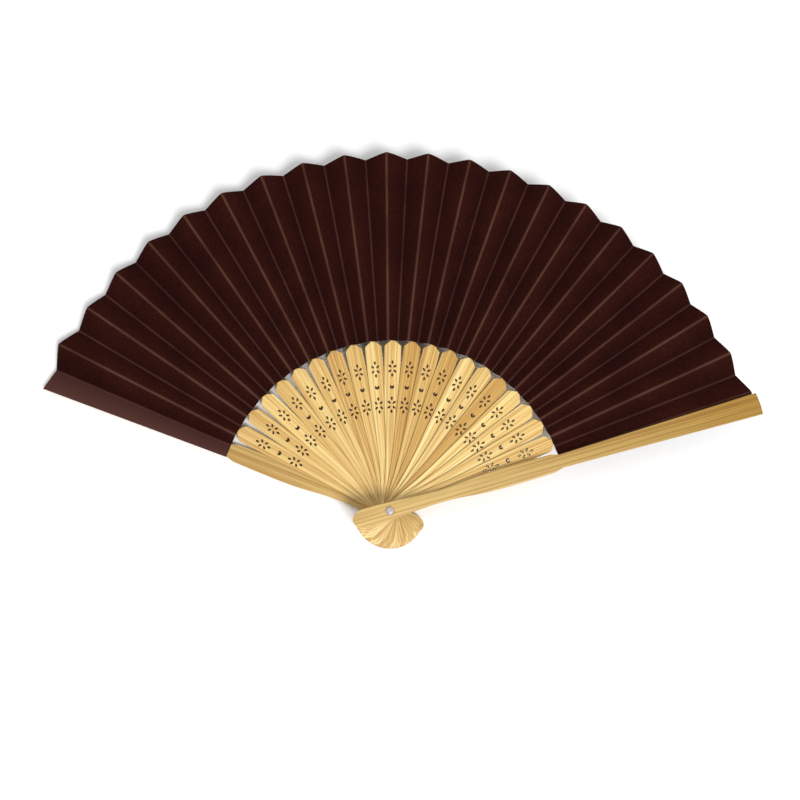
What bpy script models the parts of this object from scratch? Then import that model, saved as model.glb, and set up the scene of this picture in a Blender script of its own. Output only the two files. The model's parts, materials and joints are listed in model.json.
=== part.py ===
"""Open folding fan: two bamboo guards and twenty pierced bamboo sticks that turn on one rivet,
with a pleated paper leaf glued over the sticks' ribs.

The fan lies open on its back guard. Z runs along the rivet, and +Y points up the middle of the fan.
Each piece is drawn flat, with +X running along it from the rivet, and is then lifted to its own
level in the stack, raised by its splay and turned to its own angle about the rivet.
"""

import math

import bmesh
import bpy
from mathutils import Matrix, Vector

MM = 0.001
SAME_POINT = 1e-6

# The rivet's axis, placed so that the middle of the fan's footprint is at the origin.
PIVOT = Vector((-4.3, -92.1, 0.0)) * MM

# How far the fan is open. The sticks stand a little wider apart beside the back guard, and the
# last one leans over to the front guard.
STICKS = 20
FRONT = STICKS + 1
BACK_GUARD_ANGLE = 158.2
MIDDLE_PITCH = 6.73
PITCH_CHANGE = 0.042
MIDDLE_PLACE = 11
FRONT_GUARD_PITCH = 7.02
LAST_STICK_LEAN = 0.35

# The stack on the rivet, and how far each stick rises over the one below it.
GUARD_THICKNESS = 2.3 * MM
STICK_THICKNESS = 0.6 * MM
STICK_LEVEL = 0.87 * MM
STICK_GAP = STICK_LEVEL - STICK_THICKNESS
STICK_SPLAY = 0.12
FRONT_GUARD_SPLAY = 2.8

# The rivet: a pin with a domed head on each outer side, sunk a little into the guards.
PIN_RADIUS = 1.2 * MM
HOLE_RADIUS = 1.45 * MM
HEAD_RADIUS = 2.35 * MM
HEAD_PROUD = 1.1 * MM
SEAT_RADIUS = 2.75 * MM
SEAT_DEPTH = 0.3 * MM
SEAT_GAP = 0.05 * MM
RIVET_SIDES = 16
DOME_STEPS = 4
HOLE_SIDES = 10

# The sticks' outline: distance from the rivet and half width, from the tail to the tip.
STICK_TAIL = 19.4 * MM
STICK_CURVE = [(-16.6, 3.5), (-9.0, 4.6), (0.0, 4.2), (15.0, 3.1), (31.0, 2.7), (57.0, 3.8), (80.0, 4.6)]
STICK_SHOULDER = (92.0 * MM, 4.65 * MM)
STICK_TIP = (94.4 * MM, 1.95 * MM)
RIB_HALF_WIDTH = 1.5 * MM
RIB_START = 94.8 * MM
RIB_END = 198.0 * MM
RIB_THICKNESS = 0.4 * MM

# The guards' outline, in the same way. Past the shoulder they widen again, out to the tip.
GUARD_TAIL = 20.2 * MM
GUARD_CURVE = [(-17.2, 4.0), (-8.5, 5.0), (0.0, 4.65), (15.0, 3.7), (32.0, 3.35), (55.0, 5.1), (76.0, 5.2)]
GUARD_SHOULDER = (90.5 * MM, 4.9 * MM)
GUARD_NECK = (95.5 * MM, 3.6 * MM)
GUARD_TIP_HALF_WIDTH = 6.0 * MM
FRONT_GUARD_TIP = 206.3 * MM
BACK_GUARD_TIP = 200.4 * MM
GUARD_BULGE = 0.4 * MM

# The leaf: 43 panels between fold lines that all point at the rivet.
LEAF_THICKNESS = 0.2 * MM
LEAF_INNER = 94.9 * MM
MOUNTAIN_RADIUS = 203.6 * MM
FIRST_MOUNTAIN_RADIUS = 206.3 * MM
LAST_MOUNTAIN_RADIUS = 205.0 * MM
VALLEY_RADIUS = 201.0 * MM
LEAF_CORNER = 203.6 * MM
BACK_OVERHANG = 0.5 * MM
FRONT_INSET = 0.1 * MM
HALF_PANEL = 1.7
LAST_HALF_PANEL = 2.05
PLEAT_TILT = 16.6
FLAT_PLEATS = 4
LEAF_LIFT = 0.62 * MM

# Two flowers of six petals, and a crescent between them, are sawn through every inner stick.
FLOWERS = (58.9 * MM, 79.1 * MM)
PETAL_HALF_LENGTH = 0.85 * MM
PETAL_HALF_WIDTH = 0.45 * MM
END_PETAL = 3.6 * MM
SIDE_PETAL = 1.38 * MM
PETAL_CORNERS = 6
CRESCENT = 69.0 * MM
CRESCENT_RADIUS = 1.15 * MM
CRESCENT_HOLLOW = 0.45 * MM
CRESCENT_STEPS = 5

BAMBOO = (0.80, 0.60, 0.33, 1.0)
GUARD_BAMBOO = (0.72, 0.50, 0.24, 1.0)
LEAF_BROWN = (0.045, 0.016, 0.012, 1.0)
RIVET_PEARL = (0.62, 0.58, 0.56, 1.0)


def clear_scene():
    for thing in list(bpy.data.objects):
        bpy.data.objects.remove(thing)


def new_collection(name):
    group = bpy.data.collections.new(name)
    bpy.context.scene.collection.children.link(group)
    return group


def new_material(name, colour, roughness):
    made = bpy.data.materials.new(name)
    made.use_nodes = True
    shader = made.node_tree.nodes["Principled BSDF"]
    shader.inputs["Base Color"].default_value = colour
    shader.inputs["Roughness"].default_value = roughness
    shader.inputs["Metallic"].default_value = 0.0
    return made


def angle_of(place):
    """Angle in degrees of the piece at this place in the stack: 0 back guard, 21 front guard."""
    inner = min(place, STICKS)
    narrowing = PITCH_CHANGE * (MIDDLE_PLACE * inner - inner * (inner + 1) / 2)
    angle = BACK_GUARD_ANGLE - MIDDLE_PITCH * inner - narrowing
    if inner == STICKS:
        angle -= LAST_STICK_LEAN
    return angle if place < FRONT else angle - FRONT_GUARD_PITCH


def level_of(place):
    """Height at the rivet of the middle of the piece at this place in the stack."""
    back_face = HEAD_PROUD + GUARD_THICKNESS
    if place == 0:
        return back_face - GUARD_THICKNESS / 2
    if place == FRONT:
        return back_face + STICK_GAP + STICKS * STICK_LEVEL + GUARD_THICKNESS / 2
    return back_face + STICK_GAP + (place - 1) * STICK_LEVEL + STICK_THICKNESS / 2


def splay_of(place):
    return FRONT_GUARD_SPLAY if place == FRONT else STICK_SPLAY * place


def tilt_of(place):
    """Tilt of a stick's rib and panel. The first and last pleats lie flatter, beside the guards."""
    return PLEAT_TILT * min(1.0, (place + 1) / FLAT_PLEATS, (FRONT + 1 - place) / FLAT_PLEATS)


def placing(place):
    """Turns a flat piece into its place in the open fan."""
    lift = Matrix.Translation((PIVOT.x, PIVOT.y, level_of(place)))
    turn = Matrix.Rotation(math.radians(angle_of(place)), 4, "Z")
    rise = Matrix.Rotation(-math.radians(splay_of(place)), 4, "Y")
    return lift @ turn @ rise


def ring(centre, radius, sides):
    """Corners of a small round hole."""
    steps = [2 * math.pi * n / sides for n in range(sides)]
    return [(centre[0] + radius * math.cos(a), centre[1] + radius * math.sin(a)) for a in steps]


def petal(centre, heading):
    """A long six-cornered hole that points along the heading, in degrees."""
    along, across = math.cos(math.radians(heading)), math.sin(math.radians(heading))
    corners = ring((0.0, 0.0), 1.0, PETAL_CORNERS)
    long_wide = [(x * PETAL_HALF_LENGTH, y * PETAL_HALF_WIDTH) for x, y in corners]
    return [(centre[0] + x * along - y * across, centre[1] + x * across + y * along) for x, y in long_wide]


def flower(distance):
    """Six petals around a point on the stick's middle line: one at each end, and four slanted ones."""
    petals = [petal((distance + side * END_PETAL, 0.0), 0.0) for side in (-1, 1)]
    for along in (-1, 1):
        for across in (-1, 1):
            centre = (distance + along * SIDE_PETAL, across * SIDE_PETAL)
            petals.append(petal(centre, 45.0 * along * across))
    return petals


def crescent(distance):
    """A half moon with a hollow in the side that faces the tip."""
    steps = [math.pi / 2 + math.pi * n / CRESCENT_STEPS for n in range(CRESCENT_STEPS + 1)]
    outer = [(distance + CRESCENT_RADIUS * math.cos(a), CRESCENT_RADIUS * math.sin(a)) for a in steps]
    return outer + [(distance - CRESCENT_HOLLOW, 0.0)]


def side_of_outline(tail, curve, corners):
    """One long side, from the tail's end to the tip. Corners are sharp, and the rest is smooth."""
    smooth = [(-tail, 0.0, "AUTO")] + [(x * MM, y * MM, "AUTO") for x, y in curve]
    return smooth + [(x, y, "VECTOR") for x, y in corners]


def whole_outline(side, end=()):
    """Both sides of a piece: the given one, its mirror image, and the end between them."""
    back = [(x, -y, handle) for x, y, handle in reversed(side[1:])]
    return side + list(end) + back


def flat_piece(name, outline, holes, thickness):
    """A flat plate from a closed outline of curve points, with small holes through it."""
    curve = bpy.data.curves.new(name, "CURVE")
    curve.dimensions = "2D"
    curve.fill_mode = "BOTH"
    curve.extrude = thickness / 2
    curve.resolution_u = 3
    edge = curve.splines.new("BEZIER")
    edge.bezier_points.add(len(outline) - 1)
    for point, (x, y, handle) in zip(edge.bezier_points, outline):
        point.co = (x, y, 0.0)
        point.handle_left_type = handle
        point.handle_right_type = handle
    edge.use_cyclic_u = True
    for hole in holes:
        inside = curve.splines.new("POLY")
        inside.points.add(len(hole) - 1)
        for point, (x, y) in zip(inside.points, hole):
            point.co = (x, y, 0.0, 1.0)
        inside.use_cyclic_u = True
    drawn = bpy.data.objects.new(name, curve)
    bpy.context.scene.collection.objects.link(drawn)
    bpy.context.view_layer.update()
    seen = drawn.evaluated_get(bpy.context.evaluated_depsgraph_get())
    mesh = bpy.data.meshes.new_from_object(seen)
    bpy.data.objects.remove(drawn)
    bpy.data.curves.remove(curve)
    work = bmesh.new()
    work.from_mesh(mesh)
    bmesh.ops.remove_doubles(work, verts=work.verts, dist=SAME_POINT)
    work.to_mesh(mesh)
    work.free()
    mesh.materials.clear()
    mesh.name = name
    return mesh


def shape_rib(mesh, tilt):
    """Thins the part under the leaf to a rib, and twists it to the slope of its panel."""
    work = bmesh.new()
    work.from_mesh(mesh)
    for cut in (STICK_TIP[0], RIB_START):
        everything = work.verts[:] + work.edges[:] + work.faces[:]
        bmesh.ops.bisect_plane(
            work, geom=everything, dist=SAME_POINT, plane_co=(cut, 0, 0), plane_no=(1, 0, 0)
        )
    thinner = Matrix.Diagonal((1.0, 1.0, RIB_THICKNESS / STICK_THICKNESS))
    twist = Matrix.Rotation(math.radians(tilt), 3, "X") @ thinner
    for vertex in work.verts:
        if vertex.co.x > (STICK_TIP[0] + RIB_START) / 2:
            vertex.co = twist @ vertex.co
    work.to_mesh(mesh)
    work.free()


def add_piece(name, mesh, place, material, group):
    piece = bpy.data.objects.new(name, mesh)
    piece.matrix_world = placing(place)
    mesh.materials.append(material)
    group.objects.link(piece)
    return piece


def add_stick(place, material, group):
    corners = [STICK_SHOULDER, STICK_TIP, (STICK_TIP[0], RIB_HALF_WIDTH)]
    corners += [(RIB_START, RIB_HALF_WIDTH), (RIB_END, RIB_HALF_WIDTH)]
    outline = whole_outline(side_of_outline(STICK_TAIL, STICK_CURVE, corners))
    holes = [ring((0.0, 0.0), HOLE_RADIUS, HOLE_SIDES), crescent(CRESCENT)]
    for distance in FLOWERS:
        holes += flower(distance)
    mesh = flat_piece(f"stick_{place:02d}", outline, holes, STICK_THICKNESS)
    shape_rib(mesh, tilt_of(place))
    return add_piece(f"stick_{place:02d}", mesh, place, material, group)


def add_guard(name, place, tip, outer_side, material, group, cutters):
    """A guard, with a round seat sunk into its outer face for the rivet's head."""
    corners = [GUARD_SHOULDER, GUARD_NECK, (tip, GUARD_TIP_HALF_WIDTH)]
    bulge = [(tip + GUARD_BULGE, 0.0, "AUTO")]
    outline = whole_outline(side_of_outline(GUARD_TAIL, GUARD_CURVE, corners), bulge)
    holes = [ring((0.0, 0.0), HOLE_RADIUS, HOLE_SIDES)]
    mesh = flat_piece(name, outline, holes, GUARD_THICKNESS)
    guard = add_piece(name, mesh, place, material, group)
    bpy.ops.mesh.primitive_cylinder_add(vertices=RIVET_SIDES, radius=SEAT_RADIUS, depth=2 * SEAT_DEPTH)
    seat = bpy.context.active_object
    seat.name = f"{name}_seat"
    outer_face = level_of(place) + outer_side * GUARD_THICKNESS / 2
    seat.location = (PIVOT.x, PIVOT.y, outer_face)
    seat.hide_render = True
    seat.display_type = "WIRE"
    for group_of_seat in list(seat.users_collection):
        group_of_seat.objects.unlink(seat)
    cutters.objects.link(seat)
    cut = guard.modifiers.new("rivet_seat", "BOOLEAN")
    cut.operation = "DIFFERENCE"
    cut.solver = "EXACT"
    cut.object = seat
    return guard


def add_rivet(material, group):
    """One pin and its two domed heads, turned about the rivet's axis."""
    rise = HEAD_PROUD + SEAT_DEPTH - SEAT_GAP
    bottom_seat = rise
    top_face = level_of(FRONT) + GUARD_THICKNESS / 2
    top_seat = top_face - SEAT_DEPTH + SEAT_GAP
    steps = [math.pi / 2 * n / DOME_STEPS for n in range(DOME_STEPS + 1)]
    dome = [(HEAD_RADIUS * math.sin(a), rise * math.cos(a)) for a in steps]
    profile = [(r, top_seat + z) for r, z in dome]
    profile += [(PIN_RADIUS, top_seat), (PIN_RADIUS, bottom_seat)]
    profile += [(r, bottom_seat - z) for r, z in reversed(dome)]
    mesh = bpy.data.meshes.new("rivet")
    work = bmesh.new()
    corners = [work.verts.new((r, 0.0, z)) for r, z in profile]
    for first, second in zip(corners, corners[1:]):
        work.edges.new((first, second))
    work.to_mesh(mesh)
    work.free()
    rivet = bpy.data.objects.new("rivet", mesh)
    rivet.location = (PIVOT.x, PIVOT.y, 0.0)
    mesh.materials.append(material)
    group.objects.link(rivet)
    turned = rivet.modifiers.new("turned", "SCREW")
    turned.axis = "Z"
    turned.steps = RIVET_SIDES
    turned.render_steps = RIVET_SIDES
    turned.use_merge_vertices = True
    turned.merge_threshold = SAME_POINT
    joined = rivet.modifiers.new("joined", "WELD")
    joined.merge_threshold = SAME_POINT
    return rivet


def guard_half_width(radius):
    """Half width of a guard beside the leaf, at this distance from the rivet."""
    share = (radius - GUARD_NECK[0]) / (FRONT_GUARD_TIP - GUARD_NECK[0])
    return GUARD_NECK[1] + share * (GUARD_TIP_HALF_WIDTH - GUARD_NECK[1])


def edge_angle(place, radius):
    """Angle of the leaf's free edge, which just covers the back guard and hides under the front one."""
    overhang = BACK_OVERHANG if place == 0 else -FRONT_INSET
    outwards = 1 if place == 0 else -1
    half_angle = math.degrees(math.asin((guard_half_width(radius) + overhang) / radius))
    return angle_of(place) + outwards * half_angle


def fold_angle(place, side, radius):
    """Angle of a fold line at this distance from the rivet: side 1 is the mountain, -1 the valley."""
    if (place, side) in ((0, 1), (FRONT, -1)):
        return edge_angle(place, radius)
    return angle_of(place) + side * (LAST_HALF_PANEL if place == FRONT else HALF_PANEL)


def outer_radius(place, side):
    """Distance of the leaf's trimmed edge from the rivet. The mountains beside the guards reach further."""
    if side == -1:
        return VALLEY_RADIUS
    ends = {0: LEAF_CORNER, 1: FIRST_MOUNTAIN_RADIUS, FRONT: LAST_MOUNTAIN_RADIUS}
    return ends.get(place, MOUNTAIN_RADIUS)


def fold_height(place, side, radius):
    """Height of a fold line at this distance from the rivet."""
    if place == 0:
        return HEAD_PROUD + GUARD_THICKNESS + LEAF_LIFT - RIB_THICKNESS / 2
    rise = radius * math.sin(math.radians(splay_of(place)))
    if place == FRONT:
        return level_of(FRONT) - GUARD_THICKNESS / 2 - LEAF_LIFT + RIB_THICKNESS / 2 + rise
    half_width = radius * math.sin(math.radians(HALF_PANEL))
    slope = math.tan(math.radians(tilt_of(place)))
    return level_of(place) + LEAF_LIFT + rise + side * half_width * slope


def add_leaf(material, group):
    """The pleated paper, as an open sheet given its thickness."""
    mesh = bpy.data.meshes.new("leaf")
    work = bmesh.new()
    rows = []
    for place, side in [(place, side) for place in range(FRONT + 1) for side in (1, -1)]:
        row = []
        for radius in (LEAF_INNER, outer_radius(place, side)):
            angle = math.radians(fold_angle(place, side, radius))
            across = Vector((math.cos(angle), math.sin(angle), 0.0)) * radius
            height = Vector((0.0, 0.0, fold_height(place, side, radius)))
            row.append(work.verts.new(PIVOT + across + height))
        rows.append(row)
    for (a, b), (c, d) in zip(rows, rows[1:]):
        work.faces.new((a, c, d, b))
    bmesh.ops.recalc_face_normals(work, faces=work.faces)
    work.to_mesh(mesh)
    work.free()
    leaf = bpy.data.objects.new("leaf", mesh)
    mesh.materials.append(material)
    group.objects.link(leaf)
    paper = leaf.modifiers.new("paper", "SOLIDIFY")
    paper.thickness = LEAF_THICKNESS
    paper.offset = 0.0
    paper.use_even_offset = True
    return leaf


clear_scene()
parts = new_collection("folding_fan")
cutters = new_collection("cutters")
bamboo = new_material("bamboo", BAMBOO, 0.45)
guard_bamboo = new_material("guard_bamboo", GUARD_BAMBOO, 0.45)
leaf_paper = new_material("leaf_paper", LEAF_BROWN, 0.9)
rivet_pearl = new_material("rivet_pearl", RIVET_PEARL, 0.3)

add_guard("back_guard", 0, BACK_GUARD_TIP, -1, guard_bamboo, parts, cutters)
for stick in range(1, FRONT):
    add_stick(stick, bamboo, parts)
add_guard("front_guard", FRONT, FRONT_GUARD_TIP, 1, guard_bamboo, parts, cutters)
add_rivet(rivet_pearl, parts)
add_leaf(leaf_paper, parts)
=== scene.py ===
"""The look of an open folding fan: pierced bamboo sticks and two guards on one rivet, and a
pleated brown paper leaf. A stick or guard is drawn flat, with +X running along it from the rivet,
and is then raised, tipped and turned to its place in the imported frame. The leaf is made in place,
between its fold lines. Lengths are in metres, and named angles in degrees.
"""

import json
import math
import random

import bmesh
import bpy
import numpy as np
from mathutils import Matrix, Vector


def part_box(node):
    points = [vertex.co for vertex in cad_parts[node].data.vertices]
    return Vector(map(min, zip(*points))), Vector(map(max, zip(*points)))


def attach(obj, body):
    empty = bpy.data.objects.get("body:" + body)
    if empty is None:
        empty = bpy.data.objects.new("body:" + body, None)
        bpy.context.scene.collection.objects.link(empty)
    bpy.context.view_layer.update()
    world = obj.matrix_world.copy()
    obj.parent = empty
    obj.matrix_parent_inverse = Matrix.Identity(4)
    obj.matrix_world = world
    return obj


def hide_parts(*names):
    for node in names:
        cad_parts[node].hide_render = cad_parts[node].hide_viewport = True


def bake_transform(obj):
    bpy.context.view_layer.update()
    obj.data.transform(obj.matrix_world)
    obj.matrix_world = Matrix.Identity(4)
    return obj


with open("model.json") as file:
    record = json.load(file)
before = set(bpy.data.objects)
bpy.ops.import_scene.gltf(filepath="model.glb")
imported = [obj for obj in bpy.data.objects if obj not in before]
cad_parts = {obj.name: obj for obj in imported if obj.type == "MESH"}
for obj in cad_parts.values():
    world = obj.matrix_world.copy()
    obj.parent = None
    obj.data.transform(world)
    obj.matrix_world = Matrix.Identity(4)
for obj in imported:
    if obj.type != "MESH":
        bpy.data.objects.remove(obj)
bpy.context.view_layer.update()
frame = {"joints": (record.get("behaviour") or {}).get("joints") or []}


# Back guard. A thick slat of pale bamboo that the open fan lies on. It is split along the grain,
# its long edges are sanded round, and the rivet's lower head sits in a shallow seat in its outer
# face. The paper hides it past the shoulder.
MM = 0.001
SAME_POINT = 1e-6
BACK_GUARD_ANGLE = 158.2
GUARD_TAIL = 20.2 * MM
GUARD_SIDE = [
    (-17.2, 4.0), (-8.5, 5.0), (0.0, 4.65), (15.0, 3.7), (32.0, 3.35), (55.0, 5.1), (76.0, 5.2)]
GUARD_SHOULDER = (90.5 * MM, 4.9 * MM)
GUARD_NECK = (95.5 * MM, 3.6 * MM)
GUARD_TIP_HALF_WIDTH = 6.0 * MM
GUARD_BULGE = 0.4 * MM
GUARD_EDGE = 0.35 * MM
BACK_GUARD_TIP = 200.4 * MM
SEAT_RADIUS = 2.75 * MM
SEAT_DEPTH = 0.3 * MM
GUARD_HOLE = 1.45 * MM
EDGE_STEPS = 2
CURVE_STEPS = 10
HOLE_SIDES = 32
HEAD_SIDES = 48
SMOOTH_ANGLE = 40
BAMBOO_ROUGHNESS = 0.46
GRAIN_RELIEF = 0.06 * MM
TIP_SHADE_FULL = 190 * MM
# The painted edge shade comes in as a face turns from level, 1, to upright, 0. It darkens the
# rounded edges and sides of a piece, for the shade in the crevices between pieces.
EDGE_SHADE_FROM, EDGE_SHADE_FULL = 0.98, 0.6
EDGE_SHADE_STRENGTH = 0.7
# Broad bands, stripes and single fibres: waves in a metre along and across the grain, detail, the
# darker colour, where the noise passes from it to none, and how strongly it shows.
GRAIN = [
    ((5.0, 330.0), 2.0, "E0C68C", (0.35, 0.65), 0.5),
    ((4.0, 900.0), 2.0, "C9A556", (0.4, 0.56), 0.55),
    ((30.0, 3200.0), 4.0, "BC9656", (0.34, 0.5), 0.45)]

pivot = Vector(frame["joints"][0]["pos_m"])
pitches = [joint["range_deg"][1] for joint in frame["joints"]]
angles = [BACK_GUARD_ANGLE - sum(pitches[:place]) for place in range(len(pitches) + 1)]
FRONT = len(pitches)
guard_low, guard_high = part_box("back_guard")
guard_thickness = guard_high.z - guard_low.z
back_face = guard_high.z


def placing(place, level, splay):
    """Puts a piece that was drawn flat in its place in the open fan, with its tip raised."""
    lift = Matrix.Translation((pivot.x, pivot.y, level))
    turn = Matrix.Rotation(math.radians(angles[place]), 4, "Z")
    return lift @ turn @ Matrix.Rotation(-math.radians(splay), 4, "Y")


def slat_outline(tail, side, corners, end=()):
    """Both sides of a slat: its curved edge in millimetres, then the sharp corners near its tip."""
    half = [(-tail, 0.0, "AUTO")] + [(x * MM, y * MM, "AUTO") for x, y in side]
    half += [(x, y, "VECTOR") for x, y in corners]
    return half + list(end) + [(x, -y, handle) for x, y, handle in reversed(half[1:])]


def tidied(mesh):
    """Merges points that lie on each other, and turns every face outwards."""
    work = bmesh.new()
    work.from_mesh(mesh)
    bmesh.ops.remove_doubles(work, verts=work.verts, dist=SAME_POINT)
    bmesh.ops.recalc_face_normals(work, faces=work.faces)
    work.to_mesh(mesh)
    work.free()
    return mesh


def plain_mesh(thing, name):
    """The evaluated shape of an object, as a mesh of its own. The object is removed."""
    bpy.context.view_layer.update()
    seen = thing.evaluated_get(bpy.context.evaluated_depsgraph_get())
    mesh = bpy.data.meshes.new_from_object(seen)
    mesh.name = name
    bpy.data.objects.remove(thing)
    return mesh


def slat(name, outline, thickness, edge):
    """A flat plate from an outline, with its edges rounded inside that outline."""
    curve = bpy.data.curves.new(name, "CURVE")
    curve.dimensions = "2D"
    curve.fill_mode = "BOTH"
    curve.extrude = thickness / 2 - edge
    curve.bevel_depth = edge
    curve.bevel_resolution = EDGE_STEPS
    curve.offset = -edge
    curve.resolution_u = CURVE_STEPS
    spline = curve.splines.new("BEZIER")
    spline.bezier_points.add(len(outline) - 1)
    for point, (x, y, handle) in zip(spline.bezier_points, outline):
        point.co = (x, y, 0.0)
        point.handle_left_type = handle
        point.handle_right_type = handle
    spline.use_cyclic_u = True
    drawn = bpy.data.objects.new(name, curve)
    bpy.context.scene.collection.objects.link(drawn)
    mesh = tidied(plain_mesh(drawn, name))
    mesh.materials.clear()
    return mesh


def node(tree, kind, inputs=(), **settings):
    """Adds a node. Each input is a socket to link from, or a plain value."""
    made = tree.nodes.new(kind)
    for key, value in settings.items():
        setattr(made, key, value)
    for place, source in dict(inputs).items():
        if isinstance(source, bpy.types.NodeSocket):
            tree.links.new(source, made.inputs[place])
        else:
            made.inputs[place].default_value = source
    return made


def colour(code):
    """Linear colour of a six-digit sRGB code."""
    parts = [int(code[n:n + 2], 16) / 255 for n in (0, 2, 4)]
    return [p / 12.92 if p <= 0.04045 else ((p + 0.055) / 1.055) ** 2.4 for p in parts] + [1.0]


def smoothed(mesh):
    """Shades a mesh smooth, apart from its sharp edges."""
    mesh.shade_smooth()
    mesh.set_sharp_from_angle(angle=math.radians(SMOOTH_ANGLE))
    return mesh


def new_material(name, roughness):
    """A material with one shader: the material, its tree and the shader."""
    made = bpy.data.materials.new(name)
    made.use_nodes = True
    shader = made.node_tree.nodes["Principled BSDF"]
    shader.inputs["Roughness"].default_value = roughness
    return made, made.node_tree, shader


def ramp(tree, factor, low, high, start, end):
    """A ramp from one colour to another, between two values of the factor."""
    made = node(tree, "ShaderNodeValToRGB", {0: factor})
    for element, position, code in zip(made.color_ramp.elements, (start, end), (low, high)):
        element.position = position
        element.color = colour(code)
    return made.outputs["Color"]


def mixed(tree, factor, first, second, blend="MIX"):
    """Mixes two colours. A factor of 1 gives the second."""
    inputs = {0: factor, 6: first, 7: second}
    return node(tree, "ShaderNodeMix", inputs, data_type="RGBA", blend_type=blend).outputs[2]


def graded(tree, value, given, wanted, curve="LINEAR"):
    """Carries a value from one range to another, and holds it at the ends."""
    inputs = {0: value, 1: given[0], 2: given[1], 3: wanted[0], 4: wanted[1]}
    return node(tree, "ShaderNodeMapRange", inputs, interpolation_type=curve).outputs[0]


def streaks(tree, waves, detail):
    """Noise drawn out along the grain: so many waves in a metre along and across the piece."""
    grain = node(tree, "ShaderNodeUVMap", uv_map="grain").outputs[0]
    drawn = node(tree, "ShaderNodeMapping", {"Vector": grain, "Scale": (*waves, 1.0)}).outputs[0]
    noise = node(tree, "ShaderNodeTexNoise", {"Vector": drawn, "Scale": 1.0, "Detail": detail})
    return noise.outputs[0]


def bamboo(name, dark, pale, tip_shade, painted_edge_shade):
    """Bamboo: bands and fibres along the grain, a tone from dark to pale for each piece, and painted
    shade on the faces that turn from level, for the crevices between pieces. Towards the tip, the
    colour is tinted by the tip shade."""
    made, tree, shader = new_material(name, BAMBOO_ROUGHNESS)
    tone = node(tree, "ShaderNodeAttribute", attribute_name="tone").outputs["Fac"]
    base = mixed(tree, tone, colour(dark), colour(pale))
    for waves, detail, darker, (start, end), strength in GRAIN:
        fibres = streaks(tree, waves, detail)
        lines = ramp(tree, fibres, darker, "FFFFFF", start, end)
        base = mixed(tree, strength, base, lines, "MULTIPLY")
    grain = node(tree, "ShaderNodeUVMap", uv_map="grain").outputs[0]
    along = node(tree, "ShaderNodeSeparateXYZ", {0: grain}).outputs[0]
    toward_tip = graded(tree, along, (0.0, TIP_SHADE_FULL), (0.0, 1.0))
    base = mixed(tree, toward_tip, base, mixed(tree, 1.0, base, colour(tip_shade), "MULTIPLY"))
    facing = node(tree, "ShaderNodeTexCoord").outputs["Normal"]
    upright = node(tree, "ShaderNodeSeparateXYZ", {0: facing}).outputs[2]
    level = node(tree, "ShaderNodeMath", {0: upright}, operation="ABSOLUTE").outputs[0]
    # Painted shade: faces that turn from level darken, for the crevices between pieces.
    edge = graded(tree, level, (EDGE_SHADE_FROM, EDGE_SHADE_FULL), (0.0, EDGE_SHADE_STRENGTH))
    base = mixed(tree, edge, base, colour(painted_edge_shade))
    tree.links.new(base, shader.inputs["Base Color"])
    raised = node(tree, "ShaderNodeBump", {
        "Strength": 0.35, "Distance": GRAIN_RELIEF, "Height": fibres})
    tree.links.new(raised.outputs[0], shader.inputs["Normal"])
    return made


def with_tone(mesh, tone):
    """Gives a whole piece its tone, from 0 to 1."""
    shade = mesh.attributes.new("tone", "FLOAT", "POINT")
    shade.data.foreach_set("value", np.full(len(mesh.vertices), tone))


def with_grain(mesh, tone, start):
    """Gives a flat-drawn piece its tone and its grain map, in metres along and across it. The
    start shifts the map, so that no two pieces have the same grain."""
    points = np.empty(len(mesh.vertices) * 3)
    mesh.vertices.foreach_get("co", points)
    points = points.reshape(-1, 3)
    corners = np.empty(len(mesh.loops), int)
    mesh.loops.foreach_get("vertex_index", corners)
    for old in list(mesh.uv_layers):
        mesh.uv_layers.remove(old)
    grain = mesh.uv_layers.new(name="grain")
    across = points[corners, 1] + points[corners, 2] + start
    grain.data.foreach_set("uv", np.stack([points[corners, 0], across], 1).ravel())
    with_tone(mesh, tone)


def show(name, mesh, material, body, stands_for):
    """Makes a mesh a visible piece that rides on a body, if one is given. Without a material it
    keeps its own."""
    piece = bpy.data.objects.new(name, mesh)
    bpy.context.scene.collection.objects.link(piece)
    if material:
        mesh.materials.clear()
        mesh.materials.append(material)
    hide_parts(stands_for)
    if body:
        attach(piece, body)
    return piece


def turned(name, profile, sides):
    """A round shape from a profile of (distance from the axis, height), from top to bottom."""
    mesh = bpy.data.meshes.new(name)
    work = bmesh.new()
    corners = [work.verts.new((r, 0.0, z)) for r, z in profile]
    edges = [work.edges.new(pair) for pair in zip(corners, corners[1:])]
    bmesh.ops.spin(
        work, geom=corners + edges, cent=(0, 0, 0), axis=(0, 0, 1), angle=2 * math.pi, steps=sides)
    work.to_mesh(mesh)
    work.free()
    return tidied(mesh)


def less(mesh, cutter):
    """The mesh with the cutter taken away."""
    name = mesh.name
    body, tool = bpy.data.objects.new(name, mesh), bpy.data.objects.new("cutter", cutter)
    for thing in (body, tool):
        bpy.context.scene.collection.objects.link(thing)
    cut = body.modifiers.new("cut", "BOOLEAN")
    cut.operation = "DIFFERENCE"
    cut.solver = "EXACT"
    cut.object = tool
    result = plain_mesh(body, name)
    bpy.data.objects.remove(tool)
    return result


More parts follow.
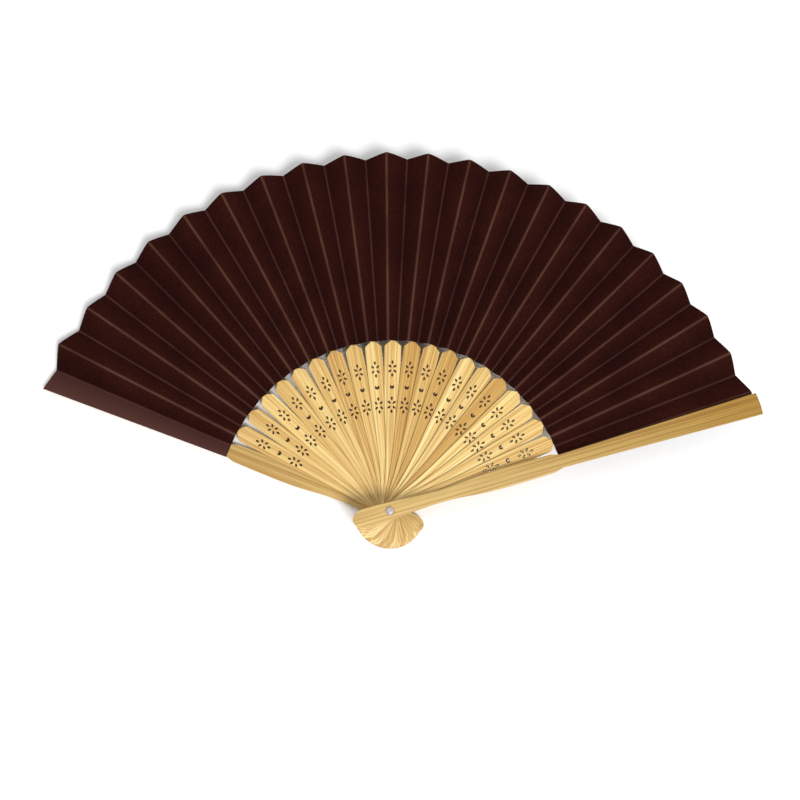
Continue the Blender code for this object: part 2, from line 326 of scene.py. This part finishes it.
def guard_mesh(name, tip, outer_side, splay):
    """A guard drawn flat, with the rivet's hole and a seat for its head. Once the guard is tipped
    by its splay, the seat lies level under the head."""
    corners = [GUARD_SHOULDER, GUARD_NECK, (tip, GUARD_TIP_HALF_WIDTH)]
    outline = slat_outline(GUARD_TAIL, GUARD_SIDE, corners, [(tip + GUARD_BULGE, 0.0, "AUTO")])
    mesh = slat(name, outline, guard_thickness, GUARD_EDGE)
    past = guard_thickness
    face = outer_side * guard_thickness / 2
    bottom = face - outer_side * SEAT_DEPTH
    near, far = sorted((bottom, face + outer_side * past))
    seat = [(0.0, far), (SEAT_RADIUS, far), (SEAT_RADIUS, near), (0.0, near)]
    hole = [(0.0, past), (GUARD_HOLE, past), (GUARD_HOLE, -past), (0.0, -past)]
    level_seat = turned("seat", seat, HEAD_SIDES)
    level_seat.transform(Matrix.Rotation(math.radians(splay), 4, "Y"))
    mesh = less(mesh, level_seat)
    return smoothed(tidied(less(mesh, turned("hole", hole, HOLE_SIDES))))


# The guards' edge colour is painted shade on their rounded edges.
guard_bamboo = bamboo(
    "guard_slat_bamboo", dark="D3B26B", pale="E2CB8B", tip_shade="CBBB82", painted_edge_shade="C9A767")
mesh = guard_mesh("back_guard_slat", BACK_GUARD_TIP, outer_side=-1, splay=0.0)
with_grain(mesh, tone=0.45, start=0.31)
mesh.transform(placing(0, (guard_low.z + guard_high.z) / 2, 0.0))
show("back_guard_slat", mesh, guard_bamboo, "back_guard", "back_guard")


# Sticks. Twenty thin slips of bamboo of one shape, stacked on the rivet. Two six-petalled flowers
# and a crescent are burned through each, which browns the walls of the holes; the walls are painted
# darker still, as painted shade inside the holes. Past its round tip a stick is a narrow rib, glued
# under the paper and twisted to the slope of its pleat.
STICK_THICKNESS = 0.6 * MM
STICK_LEVEL = 0.87 * MM
STICK_GAP = STICK_LEVEL - STICK_THICKNESS
STICK_SPLAY = 0.12
STICK_EDGE = 0.22 * MM
STICK_TAIL = 19.4 * MM
STICK_SIDE = [
    (-16.6, 3.5), (-9.0, 4.6), (0.0, 4.2), (15.0, 3.1), (31.0, 2.7), (57.0, 3.8), (80.0, 4.6)]
STICK_SHOULDER = (92.0 * MM, 4.65 * MM)
STICK_TIP = (94.4 * MM, 1.95 * MM)
RIB_HALF_WIDTH = 1.5 * MM
RIB_START = 94.8 * MM
RIB_END = 198.0 * MM
RIB_THICKNESS = 0.4 * MM
PLEAT_TILT = 16.6
FLAT_PLEATS = 4
LAST_TILT = 0.2
FLOWERS = (58.9 * MM, 79.1 * MM)
PETAL_HALF_LENGTH = 1.3 * MM
PETAL_HALF_WIDTH = 0.74 * MM
HOLE_TAPER = 0.12
END_PETAL = 3.6 * MM
SIDE_PETAL = 1.38 * MM
CRESCENT = 69.0 * MM
CRESCENT_RADIUS = 1.6 * MM
CRESCENT_SHIFT = 1.0 * MM
CRESCENT_NOTCH = 0.42
STICK_HOLE = 1.45 * MM
PETAL_SIDES = 16
CRESCENT_SIDES = 28
NOTCH_SIDES = 20
# Where a stick is pierced. A face there that is less level than WALL_SLOPE is the wall of a hole.
PIERCED_FROM, PIERCED_TO = 52.0 * MM, 86.0 * MM
PIERCED_HALF_WIDTH = 2.4 * MM
WALL_SLOPE = 0.95
CUT = {"operation": "DIFFERENCE", "solver": "MANIFOLD"}
GRAIN_SHIFT = 0.041
CHAR_WAVES = 1800.0
# Most of a noise lies between these values.
NOISE_SPAN = (0.3, 0.7)
TONE_SEED = 11

tones = random.Random(TONE_SEED)


def stick_level(place):
    """Height at the rivet of the middle of a stick."""
    return back_face + STICK_GAP + (place - 1) * STICK_LEVEL + STICK_THICKNESS / 2


def tilt_of(place):
    """Slope of a stick's pleat. The pleats beside the guards lie flatter."""
    from_back, from_front = place + 1, FRONT + LAST_TILT - place
    return PLEAT_TILT * min(1.0, from_back / FLAT_PLEATS, from_front / FLAT_PLEATS)


def socket_of(tree, name):
    """Identifier of a node group's named input."""
    return next(item.identifier for item in tree.interface.items_tree if item.name == name)


def new_tree(name, sockets):
    """A geometry tree with these named inputs and one geometry output."""
    tree = bpy.data.node_groups.new(name, "GeometryNodeTree")
    for label, kind in sockets:
        tree.interface.new_socket(label, in_out="INPUT", socket_type=f"NodeSocket{kind}")
    tree.interface.new_socket("Geometry", in_out="OUTPUT", socket_type="NodeSocketGeometry")
    return tree, tree.nodes.new("NodeGroupInput").outputs


def grown(mesh, tree, values):
    """The mesh after a geometry tree, as a plain mesh with no modifier."""
    name = mesh.name
    host = bpy.data.objects.new(name, mesh)
    bpy.context.scene.collection.objects.link(host)
    growing = host.modifiers.new(tree.name, "NODES")
    growing.node_group = tree
    for label, value in values.items():
        growing[socket_of(tree, label)] = value
    return plain_mesh(host, name)


def piercing_tree():
    """Cuts the flowers, the crescent and the rivet's hole out of a stick that was drawn flat."""
    tree, given = new_tree("piercings", [
        ("Stick", "Geometry"), ("First flower", "Float"), ("Second flower", "Float"),
        ("End petal", "Float"), ("Side petal", "Float"), ("Petal length", "Float"),
        ("Petal width", "Float"), ("Taper", "Float"), ("Crescent", "Float"),
        ("Crescent radius", "Float"), ("Crescent shift", "Float"), ("Notch", "Float"),
        ("Rivet hole", "Float"), ("Depth", "Float"), ("Burnt and shaded", "Material")])
    deep = given["Depth"]

    def vector(x=0.0, y=0.0, z=0.0):
        return node(tree, "ShaderNodeCombineXYZ", {0: x, 1: y, 2: z}).outputs[0]

    def maths(kind, first, second):
        return node(tree, "ShaderNodeMath", {0: first, 1: second}, operation=kind).outputs[0]

    petal = node(tree, "GeometryNodeMeshCone", {
        "Vertices": PETAL_SIDES, "Radius Top": 1.0, "Radius Bottom": given["Taper"],
        "Depth": deep}).outputs[0]
    low = maths("MULTIPLY", deep, -0.5)
    petal = node(tree, "GeometryNodeTransform", {
        "Geometry": petal, "Translation": vector(0.0, 0.0, low),
        "Scale": vector(given["Petal length"], given["Petal width"], 1.0)}).outputs[0]
    corner = maths("MULTIPLY", given["Side petal"], math.sqrt(2))
    side = node(tree, "GeometryNodeMeshCircle", {"Vertices": 4, "Radius": corner}).outputs[0]
    side = node(tree, "GeometryNodeTransform", {
        "Geometry": side, "Rotation": (0.0, 0.0, math.pi / 4)}).outputs[0]
    ends = node(tree, "GeometryNodeMeshLine", {
        "Count": 2, "Start Location": vector(maths("MULTIPLY", given["End petal"], -1.0)),
        "Offset": vector(maths("MULTIPLY", given["End petal"], 2.0))}).outputs[0]
    places = node(tree, "GeometryNodeJoinGeometry")
    tree.links.new(side, places.inputs[0])
    tree.links.new(ends, places.inputs[0])
    outwards = node(tree, "FunctionNodeAlignRotationToVector", {
        "Vector": node(tree, "GeometryNodeInputPosition").outputs[0]}, axis="X", pivot_axis="Z")
    flower = node(tree, "GeometryNodeInstanceOnPoints", {
        "Points": places.outputs[0], "Instance": petal, "Rotation": outwards.outputs[0]}).outputs[0]
    step = maths("SUBTRACT", given["Second flower"], given["First flower"])
    flower_places = node(tree, "GeometryNodeMeshLine", {
        "Count": 2, "Start Location": vector(given["First flower"]),
        "Offset": vector(step)}).outputs[0]
    flowers = node(tree, "GeometryNodeInstanceOnPoints", {
        "Points": flower_places, "Instance": flower}).outputs[0]
    flowers = node(tree, "GeometryNodeRealizeInstances", {0: flowers}).outputs[0]
    narrow = maths("MULTIPLY", given["Crescent radius"], given["Taper"])
    disc = node(tree, "GeometryNodeMeshCone", {
        "Vertices": CRESCENT_SIDES, "Radius Top": given["Crescent radius"],
        "Radius Bottom": narrow, "Depth": deep}).outputs[0]
    disc = node(tree, "GeometryNodeTransform", {
        "Geometry": disc, "Translation": vector(0.0, 0.0, low)}).outputs[0]
    hollow = node(tree, "GeometryNodeMeshCylinder", {
        "Vertices": NOTCH_SIDES,
        "Radius": maths("MULTIPLY", given["Crescent radius"], given["Notch"]),
        "Depth": maths("MULTIPLY", deep, 2.0)}).outputs[0]
    hollow = node(tree, "GeometryNodeTransform", {
        "Geometry": hollow, "Translation": vector(given["Crescent shift"])}).outputs[0]
    moon = node(tree, "GeometryNodeMeshBoolean", {0: disc, 1: hollow}, **CUT).outputs[0]
    moon = node(tree, "GeometryNodeTransform", {
        "Geometry": moon, "Translation": vector(given["Crescent"])}).outputs[0]
    pin = node(tree, "GeometryNodeMeshCylinder", {
        "Vertices": HOLE_SIDES, "Radius": given["Rivet hole"], "Depth": deep}).outputs[0]
    cutters = node(tree, "GeometryNodeJoinGeometry")
    for cutter in (flowers, moon):
        tree.links.new(cutter, cutters.inputs[0])
    burnt_and_shaded = node(tree, "GeometryNodeSetMaterial", {
        "Geometry": cutters.outputs[0], "Material": given["Burnt and shaded"]}).outputs[0]
    cut = node(tree, "GeometryNodeMeshBoolean", {0: given["Stick"], 1: burnt_and_shaded}, **CUT)
    cut = node(tree, "GeometryNodeMeshBoolean", {0: cut.outputs[0], 1: pin}, **CUT)
    whole = node(tree, "GeometryNodeRealizeInstances", {0: cut.outputs[0]}).outputs[0]
    out = node(tree, "NodeGroupOutput")
    tree.links.new(whole, out.inputs[0])
    return tree


def speckle(tree, waves, detail):
    """Even noise through a piece: so many waves in a metre."""
    where = node(tree, "ShaderNodeTexCoord").outputs["Object"]
    inputs = {"Vector": where, "Scale": waves, "Detail": detail}
    return node(tree, "ShaderNodeTexNoise", inputs).outputs[0]


def scorched_and_shaded():
    """The walls of a burned hole: brown charring with a little grain, painted darker as shade."""
    made, tree, shader = new_material("scorched_and_shaded_bamboo", roughness=0.85)
    char_and_shade = ramp(tree, speckle(tree, CHAR_WAVES, 3.0), "241006", "48240F", *NOISE_SPAN)
    tree.links.new(char_and_shade, shader.inputs["Base Color"])
    return made


def with_rib(mesh, tilt):
    """Thins the part under the paper to a rib and twists it to the slope of its pleat."""
    work = bmesh.new()
    work.from_mesh(mesh)
    for cut in (STICK_TIP[0], RIB_START):
        everything = work.verts[:] + work.edges[:] + work.faces[:]
        bmesh.ops.bisect_plane(
            work, geom=everything, dist=SAME_POINT, plane_co=(cut, 0, 0), plane_no=(1, 0, 0))
    thinner = Matrix.Diagonal((1.0, 1.0, RIB_THICKNESS / STICK_THICKNESS))
    twist = Matrix.Rotation(math.radians(tilt), 3, "X") @ thinner
    for vertex in work.verts:
        if vertex.co.x > (STICK_TIP[0] + RIB_START) / 2:
            vertex.co = twist @ vertex.co
    work.to_mesh(mesh)
    work.free()


# The sticks' dark edge colour is painted shade, for the dark lines between the sticks.
stick_bamboo = bamboo(
    "pierced_slip_bamboo", dark="D4AF62", pale="FCE9A9", tip_shade="F8EBD0", painted_edge_shade="7A5326")
# The walls of the holes: brown charring, with painted shade inside the holes.
scorched_and_shaded_bamboo = scorched_and_shaded()
corners = [STICK_SHOULDER, STICK_TIP, (STICK_TIP[0], RIB_HALF_WIDTH)]
corners += [(RIB_START, RIB_HALF_WIDTH), (RIB_END, RIB_HALF_WIDTH)]
blank = slat("stick", slat_outline(STICK_TAIL, STICK_SIDE, corners), STICK_THICKNESS, STICK_EDGE)
blank.materials.append(stick_bamboo)
pattern = grown(blank, piercing_tree(), {
    "First flower": FLOWERS[0], "Second flower": FLOWERS[1], "End petal": END_PETAL,
    "Side petal": SIDE_PETAL, "Petal length": PETAL_HALF_LENGTH, "Petal width": PETAL_HALF_WIDTH,
    "Taper": HOLE_TAPER, "Crescent": CRESCENT, "Crescent radius": CRESCENT_RADIUS,
    "Crescent shift": CRESCENT_SHIFT, "Notch": CRESCENT_NOTCH, "Rivet hole": STICK_HOLE,
    "Depth": 2 * STICK_THICKNESS, "Burnt and shaded": scorched_and_shaded_bamboo})
pattern = tidied(pattern)
# The cut leaves the walls of the holes pale, so they are found by their slope and place, and get
# the mesh's second material: brown charring, painted darker as the shade inside the holes.
for face in pattern.polygons:
    wall = abs(face.normal.z) < WALL_SLOPE and abs(face.center.y) < PIERCED_HALF_WIDTH
    face.material_index = int(wall and PIERCED_FROM < face.center.x < PIERCED_TO)
smoothed(pattern)
for place in range(1, FRONT):
    mesh = pattern.copy()
    with_grain(mesh, tones.random(), GRAIN_SHIFT * place)
    with_rib(mesh, tilt_of(place))
    mesh.transform(placing(place, stick_level(place), STICK_SPLAY * place))
    body = f"stick_{place:02d}"
    show(f"{body}_slip", mesh, None, body, body)


# Leaf. One sheet of matt dark brown paper, creased into 43 panels between fold lines that all
# point at the rivet. Every second panel is glued to a rib and moves with its stick, and the ones
# between are made in place for the open fan, on no stick. The creases are paler than the paper:
# wear, and on the mountain folds also a painted highlight.
LEAF_THICKNESS = 0.12 * MM
LEAF_INNER = 94.9 * MM
MOUNTAIN_RADIUS = 203.6 * MM
FIRST_MOUNTAIN_RADIUS = 206.3 * MM
LAST_MOUNTAIN_RADIUS = 205.0 * MM
VALLEY_RADIUS = 201.0 * MM
LEAF_CORNER = 203.6 * MM
BACK_OVERHANG = 0.5 * MM
FRONT_INSET = 0.1 * MM
LEAF_LIFT = 0.62 * MM
GLUE_LINE = 0.1 * MM
FRONT_GUARD_TIP = 206.3 * MM
FRONT_GUARD_SPLAY = 2.8
HALF_PANEL = 1.7
LAST_HALF_PANEL = 2.05
PANEL_BOW = 0.38 * MM
# The trimmed edge falls back from a mountain fold with the power 1 / ROUNDING of the way across.
ROUNDING = 1 / 4
ROUNDED_OFF = ROUNDING * (MOUNTAIN_RADIUS - VALLEY_RADIUS)
EDGE_ONLY = 12.0
# Points across and along a panel.
ACROSS, ALONG = 17, 41
PAPER_ROUGHNESS = 0.88
PAPER_GLOSS = 0.06
PAPER_RELIEF = 0.05 * MM
PAPER_WAVES = 1500.0
CLOUD_WAVES = 45.0
CLOUD_STRENGTH = 0.45
VALLEY_SHADE_STRENGTH = 0.8
# How wide the paler creases are, and how strongly they show: wear, and on the mountain folds also a
# painted highlight.
VALLEY_CREASE, MOUNTAIN_CREASE = 0.9 * MM, 1.2 * MM
VALLEY_WEAR, MOUNTAIN_WEAR_AND_HIGHLIGHT = 0.45, 0.55
# The first panel lies flat on the back guard and is painted paler, as painted light.
FIRST_PANEL_PAINTED_LIGHT = 0.42

front_level = back_face + STICK_GAP + (FRONT - 1) * STICK_LEVEL + guard_thickness / 2


def panel_tree():
    """One panel of the leaf, from the ends of its valley fold and its mountain fold. The sheet
    sags between the folds, and its trimmed edge rounds over towards the mountain. Each point
    keeps its distance from the nearest fold, and its turn from the valley, 0, to the mountain, 1."""
    tree, given = new_tree("leaf_panel", [
        ("Start", "Geometry"), ("Inner valley", "Vector"), ("Outer valley", "Vector"),
        ("Inner mountain", "Vector"), ("Outer mountain", "Vector"), ("Across", "Int"),
        ("Along", "Int"), ("Thickness", "Float"), ("Bow", "Float"), ("Round", "Float"),
        ("Free edge", "Float"), ("Paper", "Material")])

    def maths(kind, first, second):
        return node(tree, "ShaderNodeMath", {0: first, 1: second}, operation=kind).outputs[0]

    def vectors(kind, first, second):
        return node(tree, "ShaderNodeVectorMath", {0: first, 1: second}, operation=kind)

    def between(share, first, second):
        inputs = {0: share, 4: first, 5: second}
        return node(tree, "ShaderNodeMix", inputs, data_type="VECTOR").outputs[1]

    def stored(sheet, name, value):
        inputs = {"Geometry": sheet, "Name": name, "Value": value}
        kind = {"data_type": "FLOAT", "domain": "POINT"}
        return node(tree, "GeometryNodeStoreNamedAttribute", inputs, **kind).outputs[0]

    grid = node(tree, "GeometryNodeMeshGrid", {
        "Size X": 1.0, "Size Y": 1.0, "Vertices X": given["Across"], "Vertices Y": given["Along"]})
    position = node(tree, "GeometryNodeInputPosition").outputs[0]
    where = node(tree, "ShaderNodeSeparateXYZ", {0: position})
    u, v = maths("ADD", where.outputs[0], 0.5), maths("ADD", where.outputs[1], 0.5)
    valley = between(v, given["Inner valley"], given["Outer valley"])
    mountain = between(v, given["Inner mountain"], given["Outer mountain"])
    rest = maths("SUBTRACT", 1.0, u)
    nearest = maths("MINIMUM", u, maths("ADD", rest, given["Free edge"]))
    fold = maths("MULTIPLY", nearest, vectors("DISTANCE", valley, mountain).outputs[1])
    sag = maths("MULTIPLY", maths("MULTIPLY", maths("MULTIPLY", u, rest), -4.0), given["Bow"])
    back = maths("MULTIPLY", given["Round"], -1.0)
    trim = maths("MULTIPLY", maths("POWER", u, 1.0 / ROUNDING), back)
    trim = maths("MULTIPLY", trim, maths("POWER", v, EDGE_ONLY))
    outwards = vectors("SUBTRACT", given["Outer mountain"], given["Inner mountain"]).outputs[0]
    outwards = node(tree, "ShaderNodeVectorMath", {0: outwards}, operation="NORMALIZE").outputs[0]
    trimmed = node(
        tree, "ShaderNodeVectorMath", {0: outwards, 3: trim}, operation="SCALE").outputs[0]
    half_up = maths("ADD", sag, maths("MULTIPLY", given["Thickness"], 0.5))
    up = node(tree, "ShaderNodeCombineXYZ", {2: half_up}).outputs[0]
    shaped = vectors("ADD", between(u, valley, mountain), vectors("ADD", trimmed, up).outputs[0])
    marked = stored(stored(grid.outputs[0], "from_fold", fold), "turned", u)
    sheet = node(tree, "GeometryNodeSetPosition", {
        "Geometry": marked, "Position": shaped.outputs[0]}).outputs[0]
    down = maths("MULTIPLY", given["Thickness"], -1.0)
    lower = node(tree, "GeometryNodeExtrudeMesh", {
        "Mesh": sheet, "Offset": node(tree, "ShaderNodeCombineXYZ", {2: down}).outputs[0],
        "Offset Scale": 1.0, "Individual": False}, mode="FACES").outputs[0]
    both = node(tree, "GeometryNodeJoinGeometry")
    for half in (lower, node(tree, "GeometryNodeFlipFaces", {0: sheet}).outputs[0]):
        tree.links.new(half, both.inputs[0])
    closed = node(tree, "GeometryNodeMergeByDistance", {
        "Geometry": both.outputs[0], "Distance": SAME_POINT}).outputs[0]
    whole = node(tree, "GeometryNodeRealizeInstances", {0: closed}).outputs[0]
    papered = node(tree, "GeometryNodeSetMaterial", {
        "Geometry": whole, "Material": given["Paper"]}).outputs[0]
    tree.links.new(papered, node(tree, "NodeGroupOutput").inputs[0])
    return tree


def paper():
    """Matt brown paper with short fibres and faint cloudiness. Painted shade darkens each panel
    towards its valley fold, and the creases are paler: wear, and on the mountain folds a painted
    highlight too. A panel's tone paints light on it.
    """
    made, tree, shader = new_material("brown_leaf_paper", PAPER_ROUGHNESS)
    shader.inputs["Specular IOR Level"].default_value = PAPER_GLOSS
    fine = speckle(tree, PAPER_WAVES, 4.0)
    cloud = speckle(tree, CLOUD_WAVES, 3.0)
    base = ramp(tree, fine, "200704", "3C1610", *NOISE_SPAN)
    clouds = ramp(tree, cloud, "8F8584", "FFFFFF", *NOISE_SPAN)
    base = mixed(tree, CLOUD_STRENGTH, base, clouds, "MULTIPLY")
    # Painted light: a panel's tone pales it towards a lit brown; only the first panel's is above 0.
    tone = node(tree, "ShaderNodeAttribute", attribute_name="tone").outputs["Fac"]
    base = mixed(tree, tone, base, colour("6A4640"))
    side = node(tree, "ShaderNodeAttribute", attribute_name="turned").outputs["Fac"]
    shade = ramp(tree, side, "B8B0AE", "FFFFFF", 0.0, 0.9)
    base = mixed(tree, VALLEY_SHADE_STRENGTH, base, shade, "MULTIPLY")
    fold = node(tree, "ShaderNodeAttribute", attribute_name="from_fold").outputs["Fac"]
    mountain = node(tree, "ShaderNodeMath", {0: side, 1: 0.5}, operation="GREATER_THAN").outputs[0]
    wide = graded(tree, mountain, (0.0, 1.0), (VALLEY_CREASE, MOUNTAIN_CREASE))
    strong = graded(tree, mountain, (0.0, 1.0), (VALLEY_WEAR, MOUNTAIN_WEAR_AND_HIGHLIGHT))
    # Paler creases: wear on both folds, and on the mountain folds also a painted highlight of the
    # rounded fold.
    wear_and_highlight = graded(tree, fold, (0.0, wide), (strong, 0.0), "SMOOTHSTEP")
    patchy = graded(tree, cloud, (0.35, 0.6), (0.55, 1.0))
    wear_and_highlight = node(tree, "ShaderNodeMath", {0: wear_and_highlight, 1: patchy}, operation="MULTIPLY").outputs[0]
    base = mixed(tree, wear_and_highlight, base, mixed(tree, mountain, colour("5C3A33"), colour("694A3C")))
    tree.links.new(base, shader.inputs["Base Color"])
    raised = node(tree, "ShaderNodeBump", {
        "Strength": 0.4, "Distance": PAPER_RELIEF, "Height": fine})
    tree.links.new(raised.outputs[0], shader.inputs["Normal"])
    return made


def guard_half_width(radius):
    """Half width of a guard beside the leaf."""
    share = (radius - GUARD_NECK[0]) / (FRONT_GUARD_TIP - GUARD_NECK[0])
    return GUARD_NECK[1] + share * (GUARD_TIP_HALF_WIDTH - GUARD_NECK[1])


def rounded_off(place):
    """How much of a mountain fold's corner is rounded away. The leaf's own corner stays sharp."""
    return 0.0 if place == 0 else ROUNDED_OFF


def fold_point(place, side, outer):
    """An end of a fold line: side 1 is a stick's mountain fold, and -1 its valley fold. At the
    guards, the leaf's free edges just cover the back one and hide under the front one."""
    radius = LEAF_INNER
    if outer:
        reach = {0: LEAF_CORNER, 1: FIRST_MOUNTAIN_RADIUS, FRONT: LAST_MOUNTAIN_RADIUS}
        radius = reach.get(place, MOUNTAIN_RADIUS) if side == 1 else VALLEY_RADIUS
        radius += rounded_off(place) if side == 1 else 0.0
    half = LAST_HALF_PANEL if place == FRONT else HALF_PANEL
    if (place, side) in ((0, 1), (FRONT, -1)):
        overhang = BACK_OVERHANG if place == 0 else -FRONT_INSET
        half = math.degrees(math.asin((guard_half_width(radius) + overhang) / radius))
    angle = math.radians(angles[place] + side * half)
    if place == 0:
        height = back_face + GLUE_LINE
    elif place == FRONT:
        rise = radius * math.sin(math.radians(FRONT_GUARD_SPLAY))
        height = front_level - guard_thickness / 2 - GLUE_LINE + rise
    else:
        rise = radius * math.sin(math.radians(STICK_SPLAY * place))
        slope = math.tan(math.radians(tilt_of(place))) * math.sin(math.radians(HALF_PANEL))
        height = stick_level(place) + LEAF_LIFT + rise + side * radius * slope
    return pivot + Vector((math.cos(angle) * radius, math.sin(angle) * radius, height))


def add_panel(name, valley, mountain, bow, tone, body):
    """A panel between two folds, each given as (place, side)."""
    ends = [fold_point(*fold, outer) for fold in (valley, mountain) for outer in (False, True)]
    mesh = grown(bpy.data.meshes.new(name), leaf_panel, {
        "Inner valley": ends[0], "Outer valley": ends[1], "Inner mountain": ends[2],
        "Outer mountain": ends[3], "Across": ACROSS, "Along": ALONG, "Thickness": LEAF_THICKNESS,
        "Bow": bow, "Round": rounded_off(mountain[0]), "Free edge": float(mountain[0] == 0),
        "Paper": leaf_paper})
    mesh = smoothed(tidied(mesh))
    with_tone(mesh, tone)
    panel = show(name, mesh, leaf_paper, body, "leaf")
    return panel


leaf_paper = paper()
leaf_panel = panel_tree()
bodies = ["back_guard"] + [f"stick_{place:02d}" for place in range(1, FRONT)] + ["front_guard"]
for place, body in enumerate(bodies):
    tone = FIRST_PANEL_PAINTED_LIGHT if place == 0 else 0.0
    add_panel(f"leaf_panel_{place:02d}", (place, -1), (place, 1), 0.0, tone, body)
for place, (left, right) in enumerate(zip(bodies, bodies[1:])):
    valley, mountain = (place, -1), (place + 1, 1)
    panel = add_panel(f"leaf_fold_{place:02d}", valley, mountain, PANEL_BOW, 0.0, None)
    fold_point(*valley, True)
    fold_point(*mountain, True)
    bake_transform(panel)
    # The panel turns evenly from its valley to its mountain. The turn is read out here, but no
    # weights are made from it.
    share = np.empty(len(panel.data.vertices), np.float32)
    panel.data.attributes["turned"].data.foreach_get("value", share)


# Front guard. The same slat as the back guard, a little longer, on top of the stack at the right.
# It leans up over the pleats, and its bamboo has aged darker towards the tip.
mesh = guard_mesh("front_guard_slat", FRONT_GUARD_TIP, outer_side=1, splay=FRONT_GUARD_SPLAY)
with_grain(mesh, tone=0.6, start=0.77)
mesh.transform(placing(FRONT, front_level, FRONT_GUARD_SPLAY))
show("front_guard_slat", mesh, guard_bamboo, "front_guard", "front_guard")


# Rivet. One pin of pearly plastic through the whole stack, with a domed head formed at each end.
# The heads lie in the seats of the guards, just clear of the bamboo.
PIN_RADIUS = 1.2 * MM
HEAD_RADIUS = 2.35 * MM
SEAT_GAP = 0.05 * MM
DOME_STEPS = 10
PEARL_WAVES = 900.0
GLOW_DEPTH = 2.0 * MM

rivet_low, rivet_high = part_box("rivet")
rise = guard_low.z + SEAT_DEPTH - SEAT_GAP
arc = [math.pi / 2 * n / DOME_STEPS for n in range(DOME_STEPS + 1)]
dome = [(HEAD_RADIUS * math.sin(a), rise * math.cos(a)) for a in arc]
profile = [(r, rivet_high.z - rise + z) for r, z in dome]
profile += [(PIN_RADIUS, rivet_high.z - rise), (PIN_RADIUS, rivet_low.z + rise)]
profile += [(r, rivet_low.z + rise - z) for r, z in reversed(dome)]
mesh = turned("rivet_pin", profile, HEAD_SIDES)
mesh.transform(Matrix.Translation((pivot.x, pivot.y, 0.0)))
smoothed(mesh)
pearl, tree, shader = new_material("pearly_plastic", roughness=0.3)
milky = ramp(tree, speckle(tree, PEARL_WAVES, 2.0), "A89F9B", "C6BDB9", *NOISE_SPAN)
tree.links.new(milky, shader.inputs["Base Color"])
shader.inputs["Coat Weight"].default_value = 0.4
shader.inputs["Subsurface Weight"].default_value = 0.15
shader.inputs["Subsurface Radius"].default_value = (GLOW_DEPTH, GLOW_DEPTH, GLOW_DEPTH)
show("rivet_pin", mesh, pearl, "back_guard", "rivet")


# Studio. A pale floor under the fan, a broad soft light from the rivet's side, a weaker one from
# above, and the camera over the fan, looking down and tipped a little. The camera's place is taken
# from the rivet, and its angles are in radians.
FLOOR_SIZE = 6.0
SKY_STRENGTH = 0.42
WHITE = (1.0, 1.0, 1.0, 1.0)
CAMERA_PLACE = Vector((-13.1, -45.2, 603.1)) * MM
CAMERA_LENS = 49.14
CAMERA_TIP = -0.179
CAMERA_LEAN = 0.032

bpy.ops.mesh.primitive_plane_add(size=FLOOR_SIZE)
floor = bpy.context.active_object
floor.name = "floor"
floor_paint, tree, shader = new_material("floor_paint", roughness=0.9)
shader.inputs["Base Color"].default_value = colour("FCFCFC")
floor.data.materials.append(floor_paint)


def soft_light(name, place, size, power):
    """A square light that points at the middle of the fan."""
    lamp = bpy.data.lights.new(name, "AREA")
    lamp.size = size
    lamp.energy = power
    light = bpy.data.objects.new(name, lamp)
    light.location = place
    light.rotation_euler = (-Vector(place)).to_track_quat("-Z", "Y").to_euler()
    bpy.context.scene.collection.objects.link(light)


soft_light("key", place=(0.62, -1.12, 1.75), size=0.8, power=38.0)
soft_light("fill", place=(-0.5, 0.5, 1.4), size=1.4, power=6.0)
world = bpy.data.worlds.new("studio")
world.use_nodes = True
sky = world.node_tree.nodes["Background"]
sky.inputs["Color"].default_value = WHITE
sky.inputs["Strength"].default_value = SKY_STRENGTH
bpy.context.scene.world = world
bpy.context.scene.view_settings.view_transform = "Standard"

camera = bpy.data.objects.new("camera", bpy.data.cameras.new("camera"))
camera.data.lens = CAMERA_LENS
turn = Matrix.Rotation(CAMERA_LEAN, 3, "Y") @ Matrix.Rotation(CAMERA_TIP, 3, "X")
camera.matrix_world = Matrix.Translation(pivot + CAMERA_PLACE) @ turn.transposed().to_4x4()
bpy.context.scene.collection.objects.link(camera)
bpy.context.scene.camera = camera
